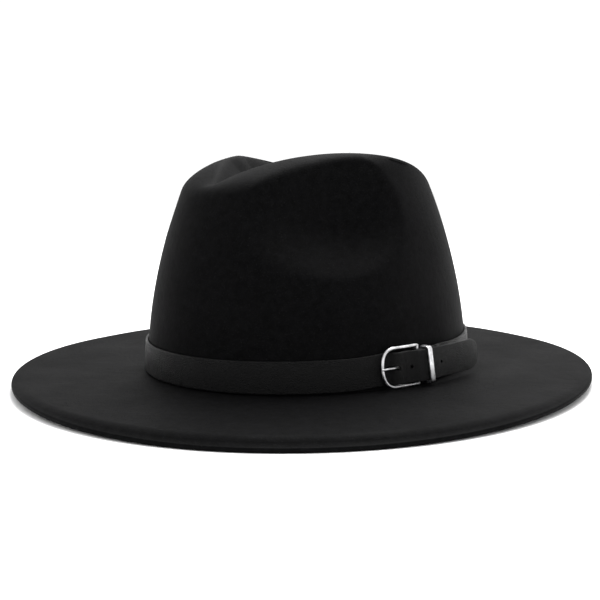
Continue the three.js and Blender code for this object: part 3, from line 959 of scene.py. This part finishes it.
# %% [markdown]
# The keeper is a flat strip bent into a loop round the tail. It leans a little, as in the photo, and its
# edges are broken so that they catch the light.

# %% The keeper loop
KEEPER = {"at": 4.4, "width": 3, "metal": 1, "lean": 0.08, "bend": 1, "edge": 0.25, "play": 0.4}
KEEPER_STEPS = {"bend": 6, "edge": 3}


# A box outline with round corners, and the direction out at each point
def rounded_box(half_a, half_b, radius, steps):
    corners = [(1, 1, 90), (1, -1, 0), (-1, -1, -90), (-1, 1, -180)]
    places, turns = [], []
    for sign_a, sign_b, start in corners:
        for i in range(steps + 1):
            turn = math.radians(start - 90 * i / steps)
            turns.append((math.cos(turn), math.sin(turn)))
            places.append((
                sign_a * (half_a - radius) + radius * math.cos(turn),
                sign_b * (half_b - radius) + radius * math.sin(turn),
            ))
    return np.array(places), np.array(turns)


# The keeper: a flat section carried round a loop
def keeper_piece():
    low = FRAME_OFF
    high = OVER_BAR + STRAP["thick"] / 2 + KEEPER["play"] + KEEPER["metal"] / 2
    half = (STRAP["width"] + KEEPER["metal"]) / 2 + KEEPER["play"]
    loop, away = rounded_box((high - low) / 2, half, KEEPER["bend"], KEEPER_STEPS["bend"])
    section, _ = rounded_box(KEEPER["width"] / 2, KEEPER["metal"] / 2, KEEPER["edge"], KEEPER_STEPS["edge"])
    rings = []
    for (off, up), (away_off, away_up) in zip(loop, away):
        offs = (low + high) / 2 + off + section[:, 1] * away_off
        ups = up + section[:, 1] * away_up
        rings.append(beside(KEEPER["at"] + section[:, 0] - KEEPER["lean"] * ups, offs, BUCKLE_Z + ups))
    faces = rings_to_faces(len(rings), len(section), closed=True)
    return new_piece("keeper", np.concatenate(rings), faces, plated_metal)


keeper = keeper_piece()
print("keeper:", len(keeper.data.polygons), "faces")

# %% [markdown]
# The nap is what makes felt look soft at its edges: short ends of wool that stand a little out of the
# surface and lie round the hat the way it was brushed. A tree scatters thin cones over the outer skin,
# leans each one along the brushing, and bends the lean by chance from a fixed seed. It keeps clear of the
# strap and the buckle, where the felt is pressed flat.

# %% The tree of the nap
NAP = {
    "count_per_mm2": 0.34, "length": 0.75, "radius": 0.022, "sides": 3,
    "brushed": 0.9, "stray": 0.55, "shortest": 0.4, "longest": 1.2, "seed": 7,
}
NAP_FROM = 30
NAP_LOOK = {
    "dark": (0.002, 0.002, 0.0022, 1), "light": (0.006, 0.006, 0.0065, 1),
    "tip": (0.02, 0.02, 0.021, 1),
}


# A tree that spreads leaning wool ends over a skin
def nap_tree(material):
    tree, given = new_tree("brushed_nap", {
        "Density": "Float", "Length": "Float", "Radius": "Float",
        "Brushed": "Float", "Stray": "Float", "Seed": "Int",
    })
    spread = add_node(tree, "GeometryNodeDistributePointsOnFaces", {
        "Mesh": given["Geometry"], "Density": given["Density"], "Seed": given["Seed"],
    })
    normal = spread.outputs["Normal"]
    round_hat = vector_math(tree, "CROSS_PRODUCT", {0: (0, 0, 1), 1: normal})
    laid = vector_math(tree, "SCALE", {0: round_hat, "Scale": given["Brushed"]})
    chance = add_node(tree, "FunctionNodeRandomValue", {
        0: (-1, -1, -1), 1: (1, 1, 1), "Seed": given["Seed"],
    }, data_type="FLOAT_VECTOR").outputs[0]
    stray = vector_math(tree, "SCALE", {0: chance, "Scale": given["Stray"]})
    leaning = vector_math(tree, "ADD", {0: normal, 1: laid})
    way = vector_math(tree, "ADD", {0: leaning, 1: stray})
    turned = add_node(tree, "FunctionNodeAlignRotationToVector", {"Vector": way}, axis="Z").outputs[0]
    cone = add_node(tree, "GeometryNodeMeshCone", {
        "Vertices": NAP["sides"], "Radius Top": 0.0,
        "Radius Bottom": given["Radius"], "Depth": given["Length"],
    }).outputs["Mesh"]
    scale = add_node(tree, "FunctionNodeRandomValue", {
        2: NAP["shortest"], 3: NAP["longest"], "Seed": given["Seed"],
    }, data_type="FLOAT").outputs[1]
    hairs = add_node(tree, "GeometryNodeInstanceOnPoints", {
        "Points": spread.outputs["Points"], "Instance": cone, "Rotation": turned, "Scale": scale,
    }).outputs["Instances"]
    close_tree(tree, hairs, material)
    return tree


# %% The nap on the felt


# The felt's outer skin, without the stretch behind the strap
def napped_skin():
    angle = spokes()
    brim = np.array(brim_rows(angle)[:-NET["fold"]])
    crown = np.array([row for row in crown_rows(angle) if row[:, 2].min() > NAP_FROM])
    faces = rings_to_faces(len(brim), NET["spokes"])
    start = len(brim) * NET["spokes"]
    faces += [tuple(start + i for i in face) for face in rings_to_faces(len(crown), NET["spokes"])]
    return new_piece("napped_skin", np.concatenate([brim, crown]).reshape(-1, 3), faces)


nap_wool = felt_material("black_wool_nap", NAP_LOOK)
nap = grow("felt_nap", napped_skin(), nap_tree(nap_wool), {
    "Density": NAP["count_per_mm2"] / MM ** 2, "Length": NAP["length"] * MM, "Radius": NAP["radius"] * MM,
    "Brushed": NAP["brushed"], "Stray": NAP["stray"], "Seed": NAP["seed"],
})
print("nap:", len(nap.data.polygons), "faces")

# %% [markdown]
# A pale table and a white room: hats like this are photographed against white paper, with broad soft
# light from above and behind so that the dark felt shows its edges. Lengths are in metres here.

# %% Floor and light
FLOOR_HALF = 6.0
PAPER_FINISH = {"Base Color": (0.93, 0.93, 0.93, 1), "Roughness": 0.9}
ROOM = {"Color": (1, 1, 1, 1), "Strength": 1.1}
ABOVE = {"place": (-0.3, 0.5, 1.3), "target": (0, 0, 0.05), "size": 1.0, "power": 32}


# The sheet of paper that the hat stands on
def pale_floor():
    mesh = bpy.data.meshes.new("pale_floor")
    corners = [(-1, -1), (1, -1), (1, 1), (-1, 1)]
    mesh.from_pydata([(x * FLOOR_HALF, y * FLOOR_HALF, 0) for x, y in corners], [], [(0, 1, 2, 3)])
    floor = bpy.data.objects.new("pale_floor", mesh)
    scene.collection.objects.link(floor)
    material, _, shader = new_material("white_paper")
    set_finish(shader, PAPER_FINISH)
    mesh.materials.append(material)


# Even white light from all round
def white_room():
    world = bpy.data.worlds.new("white_room")
    world.use_nodes = True
    set_finish(world.node_tree.nodes["Background"], ROOM)
    scene.world = world


# A round lamp that points at the hat
def soft_light(name, lamp):
    data = bpy.data.lights.new(name, "AREA")
    data.shape = "DISK"
    data.size = lamp["size"]
    data.energy = lamp["power"]
    light = bpy.data.objects.new(name, data)
    light.location = lamp["place"]
    aim = Vector(lamp["target"]) - Vector(lamp["place"])
    light.rotation_euler = aim.to_track_quat("-Z", "Y").to_euler()
    scene.collection.objects.link(light)


pale_floor()
white_room()
soft_light("above", ABOVE)
scene.view_settings.view_transform = "Standard"
print("floor and light are in place")

# %% [markdown]
# Each finished piece stands for one solid of the imported model and moves with its body. The nap
# belongs to the felt and stands for no solid of its own.

# %% The pieces join the model
STANDS_FOR = {
    "felt_crown_and_brim": (felt, "black_felt"),
    "leather_strap": (strap, "black_leather"),
    "buckle_frame": (buckle_frame, "bright_metal"),
    "buckle_prong": (buckle_prong, "bright_metal"),
    "keeper_loop": (keeper, "bright_metal"),
}
for node, (piece, slot) in STANDS_FOR.items():
    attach(piece, "root")
    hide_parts(node)
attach(nap, "root")
print("pieces on the model:", len(STANDS_FOR) + 1)
